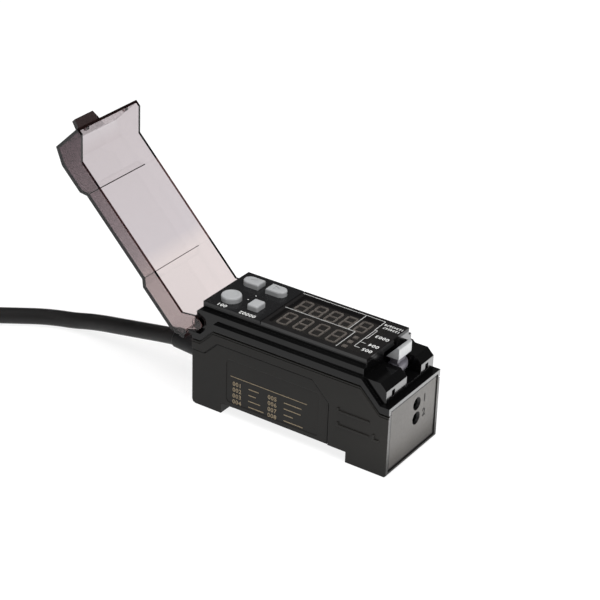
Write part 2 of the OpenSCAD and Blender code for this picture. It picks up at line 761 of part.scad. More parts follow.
module cable() {
    n = cable_sides;
    count = len(route);
    points = [for (i = [0:count - 1]) each tube_ring(route, i, cable_r, n)];
    sides = [for (i = [0:count - 2], k = [0:n - 1])
        [i * n + k, i * n + (k + 1) % n, (i + 1) * n + (k + 1) % n, (i + 1) * n + k]];
    ends = [[for (k = [n - 1:-1:0]) k], [for (k = [0:n - 1]) (count - 1) * n + k]];
    color("#131313") in_frame() polyhedron(points, concat(sides, ends));
}

// A shape with straight sides and round ends of radius r, along the coil
module long_round(r) {
    translate([-coil_l, -r]) square([coil_l, 2 * r]);
    for (x = [-coil_l, 0])
        translate([x, 0]) circle(r);
}

module cable_coil() {
    half = columns * cable_r;
    color("#131313") in_frame() translate([coil_x, coil_y, 0]) linear_extrude(rows * cable_d)
        difference() {
            long_round(coil_r + half);
            long_round(coil_r - half);
        }
}

module cable_leads() {
    pitch = 2.3 * lead_r;
    color("#7a5a3c") in_frame() translate([coil_x - lead_l, coil_y, lead_r])
        for (i = [0:lead_count - 1])
            rod_x((i - (lead_count - 1) / 2) * pitch, 0, lead_r, 0, lead_l);
}

lower_case();
upper_case();
end_plate();
key_panel();
display_window();
set_key();
mode_key();
left_key();
right_key();
key_switches();
display_module();
display_digits();
display_board();
main_board();
board_header();
board_components();
optics_board();
fibre_block();
emitter_led();
colour_receiver();
fibre_gate();
lock_lever();
lever_pin();
cover();
strain_relief();
cable();
cable_coil();
cable_leads();
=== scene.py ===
from math import cos, pi, radians, sin

import bmesh
import bpy
from mathutils import Matrix, Vector


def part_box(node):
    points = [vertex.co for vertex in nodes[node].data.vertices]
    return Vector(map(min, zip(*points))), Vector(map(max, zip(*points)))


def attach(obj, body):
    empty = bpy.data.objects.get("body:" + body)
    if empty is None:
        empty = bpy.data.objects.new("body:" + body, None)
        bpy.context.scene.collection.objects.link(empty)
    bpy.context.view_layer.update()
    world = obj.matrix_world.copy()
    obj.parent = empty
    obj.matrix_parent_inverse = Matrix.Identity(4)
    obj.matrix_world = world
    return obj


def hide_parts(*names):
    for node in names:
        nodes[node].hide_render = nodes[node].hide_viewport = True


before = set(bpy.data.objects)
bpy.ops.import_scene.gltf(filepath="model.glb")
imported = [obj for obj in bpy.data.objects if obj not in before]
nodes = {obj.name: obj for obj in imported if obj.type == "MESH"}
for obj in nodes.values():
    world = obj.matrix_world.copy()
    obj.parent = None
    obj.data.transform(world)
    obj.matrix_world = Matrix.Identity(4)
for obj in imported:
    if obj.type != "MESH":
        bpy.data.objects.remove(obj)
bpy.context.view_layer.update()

# The camera stands in front of the fibre end, on the label side, and looks down at the part. Its place,
# lens and slight roll were solved from the straight edges of the case.
mm = 0.001
camera_place = (214.95 * mm, -335.26 * mm, 245.29 * mm)
camera_azimuth = radians(33.081)
camera_elevation = radians(28.517)
camera_roll = radians(1.998)
camera_data = bpy.data.cameras.new("camera")
camera_data.sensor_width = 36
camera_data.lens = 117.62
camera_data.clip_start = 0.01
camera = bpy.data.objects.new("camera", camera_data)
bpy.context.collection.objects.link(camera)
turn = Matrix.Rotation(camera_azimuth, 4, "Z")
tilt = Matrix.Rotation(pi / 2 - camera_elevation, 4, "X")
roll = Matrix.Rotation(camera_roll, 4, "Z")
camera.matrix_world = Matrix.Translation(camera_place) @ turn @ tilt @ roll
bpy.context.scene.camera = camera

# The cable is 2 m of matt black round cable, 4.2 mm thick, moulded into a tapered boot at the rear wall.
# It drops to the floor and runs out of the picture. The rest is wound in a long coil: four turns climb
# outside, and the others come down inside them.
case_low, case_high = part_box("lower_case")
rear_x = case_low[0]
feet_z = case_low[2]
cable_d = 4.2 * mm
coil_end = Vector((-100 * mm + rear_x, -7.6 * mm))
coil_l = 77 * mm
coil_outer = 16.8 * mm
coil_inner = 12.6 * mm
coil_lift = 0.5 * mm
floor_line = feet_z + cable_d / 2
free_end_l = 53 * mm
hand_route = [(-13, 0, 8.4), (-13.5, 0, 8.4), (-17, 0, 7.9), (-21, 0, 7.2), (-26, 0, 6.3), (-31, 0, 5.4),
              (-36, 0, 4.5), (-41, 0, 3.4), (-45.5, -0.4, 2.4), (-50, -1.6, 2.1), (-54, -3.6, 2.1),
              (-58, -6.2, 2.1), (-62, -8.9, 2.1), (-67, -12.2, 2.1), (-72, -15.4, 2.1), (-77, -18.3, 2.1),
              (-82, -20.8, 2.1), (-88, -22.9, 2.1), (-94, -24.1, 2.3)]


def on_track(turn, radius):
    """A point on the coil's long track: along the near side, round, back along the far side, round."""
    around = turn % 1
    straight = 0.29
    bend = 0.5 - straight
    if around < straight:
        return Vector((coil_end.x - coil_l * around / straight, coil_end.y - radius))
    if around < 0.5:
        angle = -pi / 2 - pi * (around - straight) / bend
        return Vector((coil_end.x - coil_l + radius * cos(angle), coil_end.y + radius * sin(angle)))
    if around < 0.5 + straight:
        return Vector((coil_end.x - coil_l * (1 - (around - 0.5) / straight), coil_end.y + radius))
    angle = pi / 2 - pi * (around - 0.5 - straight) / bend
    return Vector((coil_end.x + radius * cos(angle), coil_end.y + radius * sin(angle)))


def eased(share):
    """A share of the way from 0 to 1, with a soft start and a soft stop."""
    return share * share * (3 - 2 * share)


def cable_line():
    """The hand-laid stretch, the climbing turns, the step inwards, the falling turns and the free end."""
    line = [Vector((x * mm + rear_x, y * mm, z * mm + feet_z)) for x, y, z in hand_route]
    climbing_turns = 4
    all_turns = 7.5
    half_turn = 0.5
    turn_points = 28
    for point in range(int(all_turns * turn_points) + 1):
        turn = point / turn_points
        inwards = min(max((turn - climbing_turns) / half_turn, 0), 1)
        falling = max(turn - climbing_turns - half_turn, 0)
        fall = falling + min(falling, half_turn)
        height = (min(turn, climbing_turns) - fall) * cable_d + coil_lift
        place = on_track(turn, coil_outer + (coil_inner - coil_outer) * eased(inwards))
        line.append(Vector((place.x, place.y, floor_line + height)))
    last_height = line[-1].z - floor_line
    free_points = 5
    for point in range(1, free_points + 1):
        share = point / free_points
        left = 1 - eased(share)
        line.append(Vector((coil_end.x - coil_l + free_end_l * share, coil_end.y + coil_inner * left,
                            floor_line + last_height * left)))
    return line


def round_cord(name, line, diameter, smooth=4):
    """A round cord along a line of points, with closed ends."""
    curve = bpy.data.curves.new(name, "CURVE")
    curve.dimensions = "3D"
    curve.bevel_depth = diameter / 2
    curve.bevel_resolution = smooth
    curve.use_fill_caps = True
    curve.resolution_u = 3
    spline = curve.splines.new("BEZIER")
    spline.bezier_points.add(len(line) - 1)
    for point, place in zip(spline.bezier_points, line):
        point.co = place
        point.handle_left_type = point.handle_right_type = "AUTO"
    cord = bpy.data.objects.new(name, curve)
    bpy.context.collection.objects.link(cord)
    return cord


def new_material(name):
    """A node material with its one shader, and the Object coordinates that its patterns read."""
    material = bpy.data.materials.new(name)
    material.use_nodes = True
    tree = material.node_tree
    shader = tree.nodes["Principled BSDF"]
    place = tree.nodes.new("ShaderNodeTexCoord").outputs["Object"]
    return material, tree, shader, place


def noise(tree, place, scale, detail=3):
    """A soft random pattern from 0 to 1."""
    texture = tree.nodes.new("ShaderNodeTexNoise")
    texture.inputs["Scale"].default_value = scale
    texture.inputs["Detail"].default_value = detail
    texture.inputs["Roughness"].default_value = 0.55
    tree.links.new(place, texture.inputs["Vector"])
    return texture.outputs["Fac"]


def ramp(tree, value, stops):
    """A colour ramp through (place, colour or grey) stops."""
    node = tree.nodes.new("ShaderNodeValToRGB")
    while len(node.color_ramp.elements) < len(stops):
        node.color_ramp.elements.new(0.5)
    for element, (at, tone) in zip(node.color_ramp.elements, stops):
        element.position = at
        element.color = (*tone, 1) if isinstance(tone, tuple) else (tone, tone, tone, 1)
    tree.links.new(value, node.inputs["Fac"])
    return node.outputs["Color"]


def bump(tree, shader, value, strength, edge):
    """Raises the surface by a fine pattern, and rounds its edges to a small radius."""
    grain_deep = 0.05 * mm
    node = tree.nodes.new("ShaderNodeBump")
    node.inputs["Strength"].default_value = strength
    node.inputs["Distance"].default_value = grain_deep
    tree.links.new(value, node.inputs["Height"])
    tree.links.new(node.outputs["Normal"], shader.inputs["Normal"])
    if edge:
        rounding = tree.nodes.new("ShaderNodeBevel")
        rounding.samples = 6
        rounding.inputs["Radius"].default_value = edge
        tree.links.new(rounding.outputs["Normal"], node.inputs["Normal"])


def plastic(name, tone, rough, grain=900, spread=0.15, rough_spread=0.05, dent=0.05, level=0.3, edge=0.15):
    """Moulded plastic: its colour varies a little, a fine grain breaks its gloss, its edges are rounded."""
    material, tree, shader, place = new_material(name)
    broad_grain = 60
    fine = noise(tree, place, grain)
    broad = noise(tree, place, broad_grain, detail=2)
    low = tuple(c * (1 - spread) for c in tone)
    high = tuple(c * (1 + spread) for c in tone)
    tree.links.new(ramp(tree, broad, [(0.3, low), (0.7, high)]), shader.inputs["Base Color"])
    tree.links.new(ramp(tree, fine, [(0.3, rough - rough_spread), (0.7, rough + rough_spread)]),
                   shader.inputs["Roughness"])
    shader.inputs["Specular IOR Level"].default_value = level
    bump(tree, shader, fine, dent, edge * mm)
    return material


def finish_piece(piece, material, body):
    """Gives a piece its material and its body."""
    piece.data.materials.clear()
    piece.data.materials.append(material)
    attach(piece, body)
    return piece


def dress(node, material):
    """Gives a CAD part a better material."""
    mesh = nodes[node].data
    for index in range(len(mesh.materials)):
        mesh.materials[index] = material
    if not mesh.materials:
        mesh.materials.append(material)


jacket = plastic("cable_jacket", (0.013, 0.0125, 0.0125), 0.48, grain=500, dent=0.15, edge=0)
line = cable_line()
cable = round_cord("cable_run", line, cable_d)
finish_piece(cable, jacket, "housing")
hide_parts("cable", "cable_coil")

# The cable ends in eight thin PVC leads, cut to one length and bare at the tip. They leave the jacket in
# a ring and fan out over the floor.
lead_d = 1 * mm
lead_l = 24 * mm
lead_in = 1 * mm
lead_ring = 1.2 * mm
lead_pitch = 1.15 * mm
lead_points = 6
lead_colours = {"brown": (0.10, 0.035, 0.015), "blue": (0.02, 0.06, 0.35), "black": (0.01, 0.01, 0.01),
                "white": (0.75, 0.75, 0.73), "grey": (0.22, 0.22, 0.22), "orange": (0.72, 0.17, 0.02),
                "pink": (0.75, 0.28, 0.35), "purple": (0.16, 0.04, 0.30)}
jacket_end = line[-1]
for count, (colour, tone) in enumerate(lead_colours.items()):
    angle = 2 * pi * count / len(lead_colours)
    start_y = lead_ring * cos(angle)
    start_z = lead_ring * sin(angle)
    end_y = (count - (len(lead_colours) - 1) / 2) * lead_pitch
    end_z = lead_d / 2 - cable_d / 2
    route = []
    for point in range(lead_points + 1):
        share = point / lead_points
        route.append(Vector((jacket_end.x - lead_in + lead_l * share,
                             jacket_end.y + start_y + (end_y - start_y) * eased(share),
                             jacket_end.z + start_z + (end_z - start_z) * eased(share))))
    lead = round_cord(f"lead_{colour}", route, lead_d, smooth=2)
    coat = plastic(f"lead_coat_{colour}", tone, 0.4, grain=900, dent=0.05, edge=0)
    finish_piece(lead, coat, "housing")
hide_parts("cable_leads")

# Two bands of hook-and-loop tape hold the coil's straight runs together. Each is a thin woven strip that
# goes round all the turns on its side, two wide and five high.
band_wide = 9 * mm
band_thick = 0.4 * mm
band_reach = cable_d + 0.25 * mm
band_high = 5 * cable_d + 0.3 * mm
band_round = 2 * mm


def tape_band(name, middle, material):
    """A closed strip: a ring of points on a round-cornered outline, pulled wide and given a thickness."""
    mesh = bmesh.new()
    ring = bmesh.ops.create_circle(mesh, segments=32, radius=1, cap_ends=False)["verts"]
    low_z = feet_z + band_thick
    for vert in ring:
        side = 1 if vert.co.x >= 0 else -1
        top = 1 if vert.co.y >= 0 else 0
        corner_y = side * (band_reach - band_round)
        corner_z = low_z + band_round + top * (band_high - 2 * band_round)
        vert.co = Vector((middle.x - band_wide / 2, middle.y + corner_y + band_round * vert.co.x,
                          corner_z + band_round * vert.co.y))
    pulled = bmesh.ops.extrude_edge_only(mesh, edges=mesh.edges[:])["geom"]
    bmesh.ops.translate(mesh, verts=[v for v in pulled if isinstance(v, bmesh.types.BMVert)],
                        vec=(band_wide, 0, 0))
    bmesh.ops.recalc_face_normals(mesh, faces=mesh.faces[:])
    data = bpy.data.meshes.new(name)
    mesh.to_mesh(data)
    mesh.free()
    band = bpy.data.objects.new(name, data)
    bpy.context.collection.objects.link(band)
    thick = band.modifiers.new("thickness", "SOLIDIFY")
    thick.thickness = band_thick
    thick.offset = 0
    return finish_piece(band, material, "housing")


tape = plastic("tape_weave", (0.02, 0.02, 0.022), 0.8, grain=2600, dent=0.5, edge=0)
for name, side in (("near", -1), ("far", 1)):
    run_y = coil_end.y + side * (coil_inner + coil_outer) / 2
    tape_band(f"coil_band_{name}", Vector((coil_end.x - coil_l / 2, run_y)), tape)

# The boot is soft black PVC with a matt skin, moulded over the cable. A lip outside the rear wall and a
# flange inside it hold the boot there.
dress("strain_relief", plastic("boot_black", (0.009, 0.009, 0.0095), 0.5, grain=600, dent=0.12))

# The lower case is a shell of black ABS from one mould, with a fine satin grain on its outer walls.
# Its mould left the step, the bars and the grooves with small round edges.
case_black = plastic("case_black", (0.014, 0.013, 0.0115), 0.36, grain=1400, dent=0.1, level=0.2)
dress("lower_case", case_black)

# The label field carries a gold print: a line, and under it a plain number from 001 to 008 for each lead,
# with a short bar beside it. The ink is 0.03 mm thick, and half of that stands out of the sunk field.
side_bar_out = 0.25 * mm
field_deep = 0.37 * mm
ink_thick = 0.03 * mm
field_y = case_low[1] + side_bar_out + field_deep


def bar(mesh, low, high):
    """A flat box between two corners, added to a mesh."""
    made = bmesh.ops.create_cube(mesh, size=1)["verts"]
    low = Vector(low)
    high = Vector(high)
    bmesh.ops.scale(mesh, verts=made, vec=high - low)
    bmesh.ops.translate(mesh, verts=made, vec=(low + high) / 2)


def add_number(mesh, words, height, matrix):
    """Adds a number's figures to a mesh, as thin flat shapes of a given height."""
    figure_share = 0.7
    bold_share = 0.03
    curve = bpy.data.curves.new("number", "FONT")
    curve.body = words
    curve.size = height / figure_share
    curve.extrude = ink_thick / 2
    curve.offset = height * bold_share
    curve.space_character = 1.12
    curve.resolution_u = 3
    text = bpy.data.objects.new("number", curve)
    bpy.context.collection.objects.link(text)
    shape = bpy.data.meshes.new_from_object(text)
    shape.transform(matrix)
    mesh.from_mesh(shape)
    bpy.data.objects.remove(text)
    bpy.data.curves.remove(curve)
    bpy.data.meshes.remove(shape)


def printed(name, mesh, material):
    """Makes a piece of print that rides on the housing."""
    data = bpy.data.meshes.new(name)
    mesh.to_mesh(data)
    mesh.free()
    piece = bpy.data.objects.new(name, data)
    bpy.context.collection.objects.link(piece)
    return finish_piece(piece, material, "housing")


def on_field(x, z):
    """A place on the label field, from the cable end and the feet, for print that faces the near side."""
    place = Vector((x * mm + rear_x, field_y, z * mm + feet_z))
    return Matrix.Translation(place) @ Matrix.Rotation(pi / 2, 4, "X")


def field_bar(mesh, x, z):
    """A bar of ink on the label field, between two places along it and two heights."""
    bar(mesh, (x[0] * mm + rear_x, field_y - ink_thick / 2, z[0] * mm + feet_z),
        (x[1] * mm + rear_x, field_y + ink_thick / 2, z[1] * mm + feet_z))


rule_x = (11.2, 32.9)
rule_z = (11.1, 11.28)
top_row_z = 8.85
row_pitch = 1.62
number_high = 1.1
number_x = (11.8, 21.9)
bar_x = (16.4, 26.5)
bar_z = (0.4, 0.64)
bar_lengths = [(2.9, 4.9), (2.1, 4.7), (3.4, 2.6), (4.4, 5.4)]
mesh = bmesh.new()
field_bar(mesh, rule_x, rule_z)
for row, lengths in enumerate(bar_lengths):
    base = top_row_z - row * row_pitch
    for column, length in enumerate(lengths):
        number = 1 + row + column * len(bar_lengths)
        add_number(mesh, f"00{number}", number_high * mm, on_field(number_x[column], base))
        field_bar(mesh, (bar_x[column], bar_x[column] + length), (base + bar_z[0], base + bar_z[1]))
gold, tree, shader, place = new_material("gold_ink")
worn = noise(tree, place, 1500, detail=2)
tree.links.new(ramp(tree, worn, [(0.35, (0.33, 0.26, 0.17)), (0.7, (0.45, 0.36, 0.24))]),
               shader.inputs["Base Color"])
shader.inputs["Roughness"].default_value = 0.5
shader.inputs["Specular IOR Level"].default_value = 0.3
printed("label_print", mesh, gold)

# The end plate is a flat moulding. Its face has a dull grey grain that catches the light. Its rim, which
# turns into the gap beside the case, and its ports are painted black: painted shade, where the gap and the
# bores keep the light out. The numbers printed beside the ports are black too.


def inside(tree, place, low, high, axes=(0, 1)):
    """1 where a position lies between two corners along the given axes, and 0 elsewhere."""
    parts = tree.nodes.new("ShaderNodeSeparateXYZ")
    tree.links.new(place, parts.inputs[0])
    result = None
    for axis in axes:
        test = tree.nodes.new("ShaderNodeMath")
        test.operation = "COMPARE"
        test.inputs[1].default_value = (low[axis] + high[axis]) / 2
        test.inputs[2].default_value = (high[axis] - low[axis]) / 2
        tree.links.new(parts.outputs[axis], test.inputs[0])
        if result is None:
            result = test.outputs[0]
        else:
            both = tree.nodes.new("ShaderNodeMath")
            both.operation = "MULTIPLY"
            tree.links.new(result, both.inputs[0])
            tree.links.new(test.outputs[0], both.inputs[1])
            result = both.outputs[0]
    return result


def two_tones(tree, share, first, second):
    """A colour that is the first one where the share is 0, and the second where it is 1."""
    node = tree.nodes.new("ShaderNodeMix")
    node.data_type = "RGBA"
    tree.links.new(share, node.inputs["Factor"])
    tree.links.new(first, node.inputs["A"])
    tree.links.new(second, node.inputs["B"])
    return node.outputs["Result"]


end_grey = plastic("end_grey", (0.06, 0.056, 0.052), 0.42, grain=1500, dent=0.12, level=0.085, spread=0.08)
plate_low, plate_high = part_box("end_plate")
rim_wide = 0.42 * mm
face_deep = 0.03 * mm
face_low = (plate_high[0] - face_deep, plate_low[1] + rim_wide, plate_low[2] + rim_wide)
face_high = (plate_high[0] + face_deep, plate_high[1] - rim_wide, plate_high[2] - rim_wide)
tree = end_grey.node_tree
shader = tree.nodes["Principled BSDF"]
place = tree.nodes["Texture Coordinate"].outputs["Object"]
on_face = inside(tree, place, face_low, face_high, axes=(0, 1, 2))
# Painted shade: off the face, the rim and the ports' bores are painted near black.
rim_and_port_painted_shade = tree.nodes.new("ShaderNodeRGB")
rim_and_port_painted_shade.outputs[0].default_value = (0.003, 0.003, 0.003, 1)
face_tone = shader.inputs["Base Color"].links[0].from_socket
tree.links.new(two_tones(tree, on_face, rim_and_port_painted_shade.outputs[0], face_tone), shader.inputs["Base Color"])
dress("end_plate", end_grey)
mark_y = 4.3 * mm
mark_high = 2 * mm
mark_out = 0.02 * mm
facing_out = Matrix.Rotation(pi / 2, 4, "Z") @ Matrix.Rotation(pi / 2, 4, "X")
mesh = bmesh.new()
for words, base in (("1", 12.6 * mm), ("2", 8.7 * mm)):
    place = Vector((plate_high[0] + mark_out, mark_y, base + feet_z))
    add_number(mesh, words, mark_high, Matrix.Translation(place) @ facing_out)
printed("port_numbers", mesh, plastic("mark_grey", (0.008, 0.0075, 0.007), 0.5, edge=0))

# The upper case, with the shoulder and the two towers, is black plastic from a polished mould. It closes
# the lower case along the rim, and carries the panel, the lever between its towers and the cover's hinge.
top_black = plastic("top_black", (0.002, 0.002, 0.0021), 0.14, grain=700, dent=0.01,
                    rough_spread=0.02, level=0.28, edge=0.1)
dress("upper_case", top_black)

# The key panel is a satin black plate, flush with the window beside it. Its legends are white ink: a
# number beside each near key, and two dots between the keys.
panel_black = plastic("panel_black", (0.007, 0.007, 0.0075), 0.24, dent=0.015, level=0.35, edge=0.08)
dress("key_panel", panel_black)
print_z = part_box("display_window")[1][2] + ink_thick / 2
legend_high = 1.15


def on_panel(x, y):
    """A place on the panel, for print that is read from the display's far side."""
    place = Vector((x * mm + rear_x, y * mm, print_z))
    return Matrix.Translation(place) @ Matrix.Rotation(pi, 4, "Z")


def stroke(mesh, start, end, width=0.13):
    """A printed line along or across the panel."""
    low = (min(start[0], end[0]) - width / 2, min(start[1], end[1]) - width / 2)
    high = (max(start[0], end[0]) + width / 2, max(start[1], end[1]) + width / 2)
    bar(mesh, (low[0] * mm + rear_x, low[1] * mm, print_z - ink_thick / 2),
        (high[0] * mm + rear_x, high[1] * mm, print_z + ink_thick / 2))


ink_white = plastic("ink_white", (0.6, 0.6, 0.59), 0.5, grain=2000, spread=0.05, edge=0)
mesh = bmesh.new()
for words, x, y in (("001", 7.8, -7.6), ("00002", 16.1, -7.8)):
    add_number(mesh, words, legend_high * mm, on_panel(x, y))
dot_wide = 0.28
for dot in ((10.3, 0.2), (9.8, -2.3)):
    stroke(mesh, dot, dot, dot_wide)
printed("key_legends", mesh, ink_white)

# The window is a plate of smoked acrylic over the display. Black ink on its underside leaves only the
# display open to view. Its frame lines, bracket, ticks and numbers are printed in white on top.
display_low, display_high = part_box("display_module")
window, tree, shader, place = new_material("smoked_window")
dust = noise(tree, place, 700, detail=2)
tree.links.new(ramp(tree, dust, [(0.3, (0.006, 0.0055, 0.0055)), (0.7, (0.009, 0.008, 0.008))]),
               shader.inputs["Base Color"])
shader.inputs["Roughness"].default_value = 0.12
shader.inputs["Specular IOR Level"].default_value = 0.5
smoke_alpha = 0.4
tint = tree.nodes.new("ShaderNodeMapRange")
tint.inputs["To Min"].default_value = 1
tint.inputs["To Max"].default_value = smoke_alpha
tree.links.new(inside(tree, place, display_low, display_high), tint.inputs["Value"])
tree.links.new(tint.outputs["Result"], shader.inputs["Alpha"])
dress("display_window", window)
far_y = 8.1
border_x = 41.45
row_end_x = 38.3
divider_x = 36.3
bracket_low = (41.6, -1.1)
bracket_high = (42.2, 3.4)
tick_x = 43
ticks_y = (-3.2, -5.65)
mesh = bmesh.new()
for start, end in (((18.6, far_y), (border_x, far_y)), ((border_x, far_y), (border_x, bracket_high[1])),
                   ((18.9, 0), (row_end_x, 0)), ((divider_x, far_y), (divider_x, 0)),
                   ((row_end_x, 0), (row_end_x, -far_y)), (bracket_low, (bracket_low[0], ticks_y[1]))):
    stroke(mesh, start, end)
for y in ticks_y:
    stroke(mesh, (bracket_low[0], y), (tick_x, y))
for x in (bracket_low[0], bracket_high[0]):
    stroke(mesh, (x, bracket_high[1]), (x, bracket_low[1]))
for y in (bracket_high[1], bracket_low[1]):
    stroke(mesh, (bracket_low[0], y), (bracket_high[0], y))
small_high = 0.8
for words, x, y, height in (("0003", 46.7, 1.6, legend_high), ("004", 46.6, -2.6, legend_high),
                            ("005", 46.4, -5.2, legend_high), ("12345678", 47, 7.3, small_high),
                            ("1234567", 46.8, 5.9, small_high)):
    add_number(mesh, words, height * mm, on_panel(x, y))
printed("window_print", mesh, ink_white)

# The digits and the three lamps are frosted bars over unlit diodes, which stand a little out of the
# display's face, close under the window. They are brown-grey when unlit.
digit_z = display_high[2]
bar_wide = 0.42 * mm
bar_out = 0.25 * mm
bar_gap = 0.6 * bar_wide
digit_wide = 2.55


def pointed_bar(mesh, start, end):
    """One bar of a digit: a thin six-sided plate with pointed ends, between two corners of the digit."""
    along = (end - start).normalized()
    across = Vector((-along.y, along.x)) * bar_wide / 2
    tip = along * bar_wide / 2
    first = start + along * bar_gap
    last = end - along * bar_gap
    outline = (first - tip, first - across, last - across, last + tip, last + across, first + across)
    face = mesh.faces.new([mesh.verts.new((point.x, point.y, digit_z)) for point in outline])
    made = bmesh.ops.extrude_face_region(mesh, geom=[face])["geom"]
    bmesh.ops.translate(mesh, verts=[v for v in made if isinstance(v, bmesh.types.BMVert)],
                        vec=(0, 0, bar_out))


def digit(mesh, left, low_y, height):
    """One digit: seven bars between its four corners and the two points halfway up."""
    corner = [[Vector((x * mm + rear_x, y * mm)) for x in (left, left + digit_wide)]
              for y in (low_y, low_y + height / 2, low_y + height)]
    for row in corner:
        pointed_bar(mesh, *row)
    for row in (0, 1):
        for side in (0, 1):
            pointed_bar(mesh, corner[row][side], corner[row + 1][side])


near_row = {"count": 4, "first_x": 20.2, "pitch": 4.5, "low_y": -5.7, "height": 5.4}
far_row = {"count": 5, "first_x": 20.05, "pitch": 4.13, "low_y": 1.75, "height": 4.9}
mesh = bmesh.new()
for row in (near_row, far_row):
    for number in range(row["count"]):
        digit(mesh, row["first_x"] + number * row["pitch"], row["low_y"], row["height"])
lamp_wide = 1.15
lamp_x = 39
first_lamp_y = -0.8
lamp_pitch = 2.4
for number in range(3):
    middle = Vector((lamp_x, first_lamp_y - number * lamp_pitch))
    bar(mesh, ((middle.x - lamp_wide / 2) * mm + rear_x, (middle.y - lamp_wide / 2) * mm, digit_z),
        ((middle.x + lamp_wide / 2) * mm + rear_x, (middle.y + lamp_wide / 2) * mm, digit_z + bar_out))
bmesh.ops.recalc_face_normals(mesh, faces=mesh.faces[:])
digit_bars, tree, shader, place = new_material("digit_bars")
tree.links.new(ramp(tree, noise(tree, place, 400), [(0.3, (0.60, 0.53, 0.47)), (0.7, (0.76, 0.68, 0.61))]),
               shader.inputs["Base Color"])
shader.inputs["Roughness"].default_value = 0.6
digits = printed("display_bars", mesh, digit_bars)
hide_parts("display_digits")
dress("display_module", plastic("display_face", (0.075, 0.07, 0.064), 0.6, edge=0))

# The keys are pale grey plastic with a fine matt grain and well rounded edges. Each stands through the
# panel on a small push switch, which springs it back.
key_tone = (0.33, 0.335, 0.34)
key_grey = plastic("key_grey", key_tone, 0.42, grain=1500, dent=0.12, spread=0.05, level=0.4, edge=0.2)
for node in ("set_key", "mode_key", "left_key", "right_key"):
    dress(node, key_grey)
dress("key_switches", plastic("switch_grey", (0.25, 0.25, 0.26), 0.4))

# The lever is pale grey plastic. Its stem and hub, under the head, are painted darker: painted shade
# that the head casts on them. It turns on its pin between the two towers.
neck_high = 24.9 * mm


def past(tree, place, axis, limit):
    """1 where a position lies past a limit on one axis, and 0 elsewhere."""
    parts = tree.nodes.new("ShaderNodeSeparateXYZ")
    tree.links.new(place, parts.inputs[0])
    test = tree.nodes.new("ShaderNodeMath")
    test.operation = "GREATER_THAN"
    test.inputs[1].default_value = limit
    tree.links.new(parts.outputs[axis], test.inputs[0])
    return test.outputs[0]


lever_grey, tree, shader, place = new_material("lever_grey")
grain = noise(tree, place, 1500)
# Painted shade: below the neck, the stem and hub are a darker colour than the head.
stem_painted_shade = ramp(tree, grain, [(0.3, (0.085, 0.08, 0.095)), (0.7, (0.11, 0.105, 0.12))])
head = ramp(tree, grain, [(0.3, (0.25, 0.255, 0.26)), (0.7, (0.29, 0.295, 0.30))])
in_head = past(tree, place, "Z", neck_high + feet_z)
tree.links.new(two_tones(tree, in_head, stem_painted_shade, head), shader.inputs["Base Color"])
shader.inputs["Roughness"].default_value = 0.42
bump(tree, shader, grain, 0.12, 0.12 * mm)
dress("lock_lever", lever_grey)

# The lever's pin is turned from bright steel and sits in the two towers. The gate is a duller steel
# blank, and slides in its slot across both bores.
for node, tone, rough in (("lever_pin", 0.55, 0.22), ("fibre_gate", 0.42, 0.35)):
    steel, tree, shader, place = new_material(f"{node}_steel")
    streak = noise(tree, place, 1200)
    tree.links.new(ramp(tree, streak, [(0.3, tone * 0.85), (0.7, tone * 1.1)]), shader.inputs["Base Color"])
    tree.links.new(ramp(tree, streak, [(0.3, rough), (0.7, rough + 0.12)]), shader.inputs["Roughness"])
    shader.inputs["Metallic"].default_value = 1
    dress(node, steel)

# The boards are glass-fibre laminate under green lacquer, and the header and the parts on them are black.
# The light parts are clear and smoked epoxy. They sit in a dark moulded block, behind its two bores.
board_green = plastic("board_green", (0.012, 0.10, 0.045), 0.3, grain=1100, spread=0.35, dent=0.1, edge=0)
for node in ("display_board", "main_board", "optics_board"):
    dress(node, board_green)
dress("board_header", plastic("header_black", (0.012, 0.012, 0.013), 0.45))
dress("board_components", plastic("chip_black", (0.025, 0.025, 0.027), 0.5))
dress("fibre_block", plastic("block_grey", (0.02, 0.02, 0.021), 0.55, level=0.15))
dress("emitter_led", plastic("lamp_clear", (0.72, 0.72, 0.68), 0.15, edge=0))
dress("colour_receiver", plastic("receiver_smoke", (0.05, 0.045, 0.06), 0.15, edge=0))

# The cover is one clear smoked polycarbonate moulding. Its roof lets most light through. Painted shade
# makes the roof a little darker towards the front, the wall on the label side darker and darker towards
# the front, and the thick finger tab near black. The edges, where light crosses centimetres of plastic,
# look black.
hinge = Vector((1.25 * mm + rear_x, 0, 22 * mm + feet_z))
open_angle = radians(134)
cover_l = 60 * mm
near_wall_y = -10.5 * mm
tab_start = 0.893
tab_full = 0.896
tab_painted_shade = (0.06, 0.05, 0.05)
cover_smoke, tree, shader, place = new_material("cover_smoke")
handled = noise(tree, place, 90, detail=4)
tree.links.new(ramp(tree, handled, [(0.4, 0.0), (0.75, 0.05)]), shader.inputs["Roughness"])
along = Vector((cos(open_angle), 0, sin(open_angle)))
reach = tree.nodes.new("ShaderNodeVectorMath")
reach.operation = "DOT_PRODUCT"
reach.inputs[1].default_value = along
tree.links.new(place, reach.inputs[0])
share = tree.nodes.new("ShaderNodeMapRange")
share.inputs["From Min"].default_value = hinge.dot(along)
share.inputs["From Max"].default_value = hinge.dot(along) + cover_l
tree.links.new(reach.outputs["Value"], share.inputs["Value"])
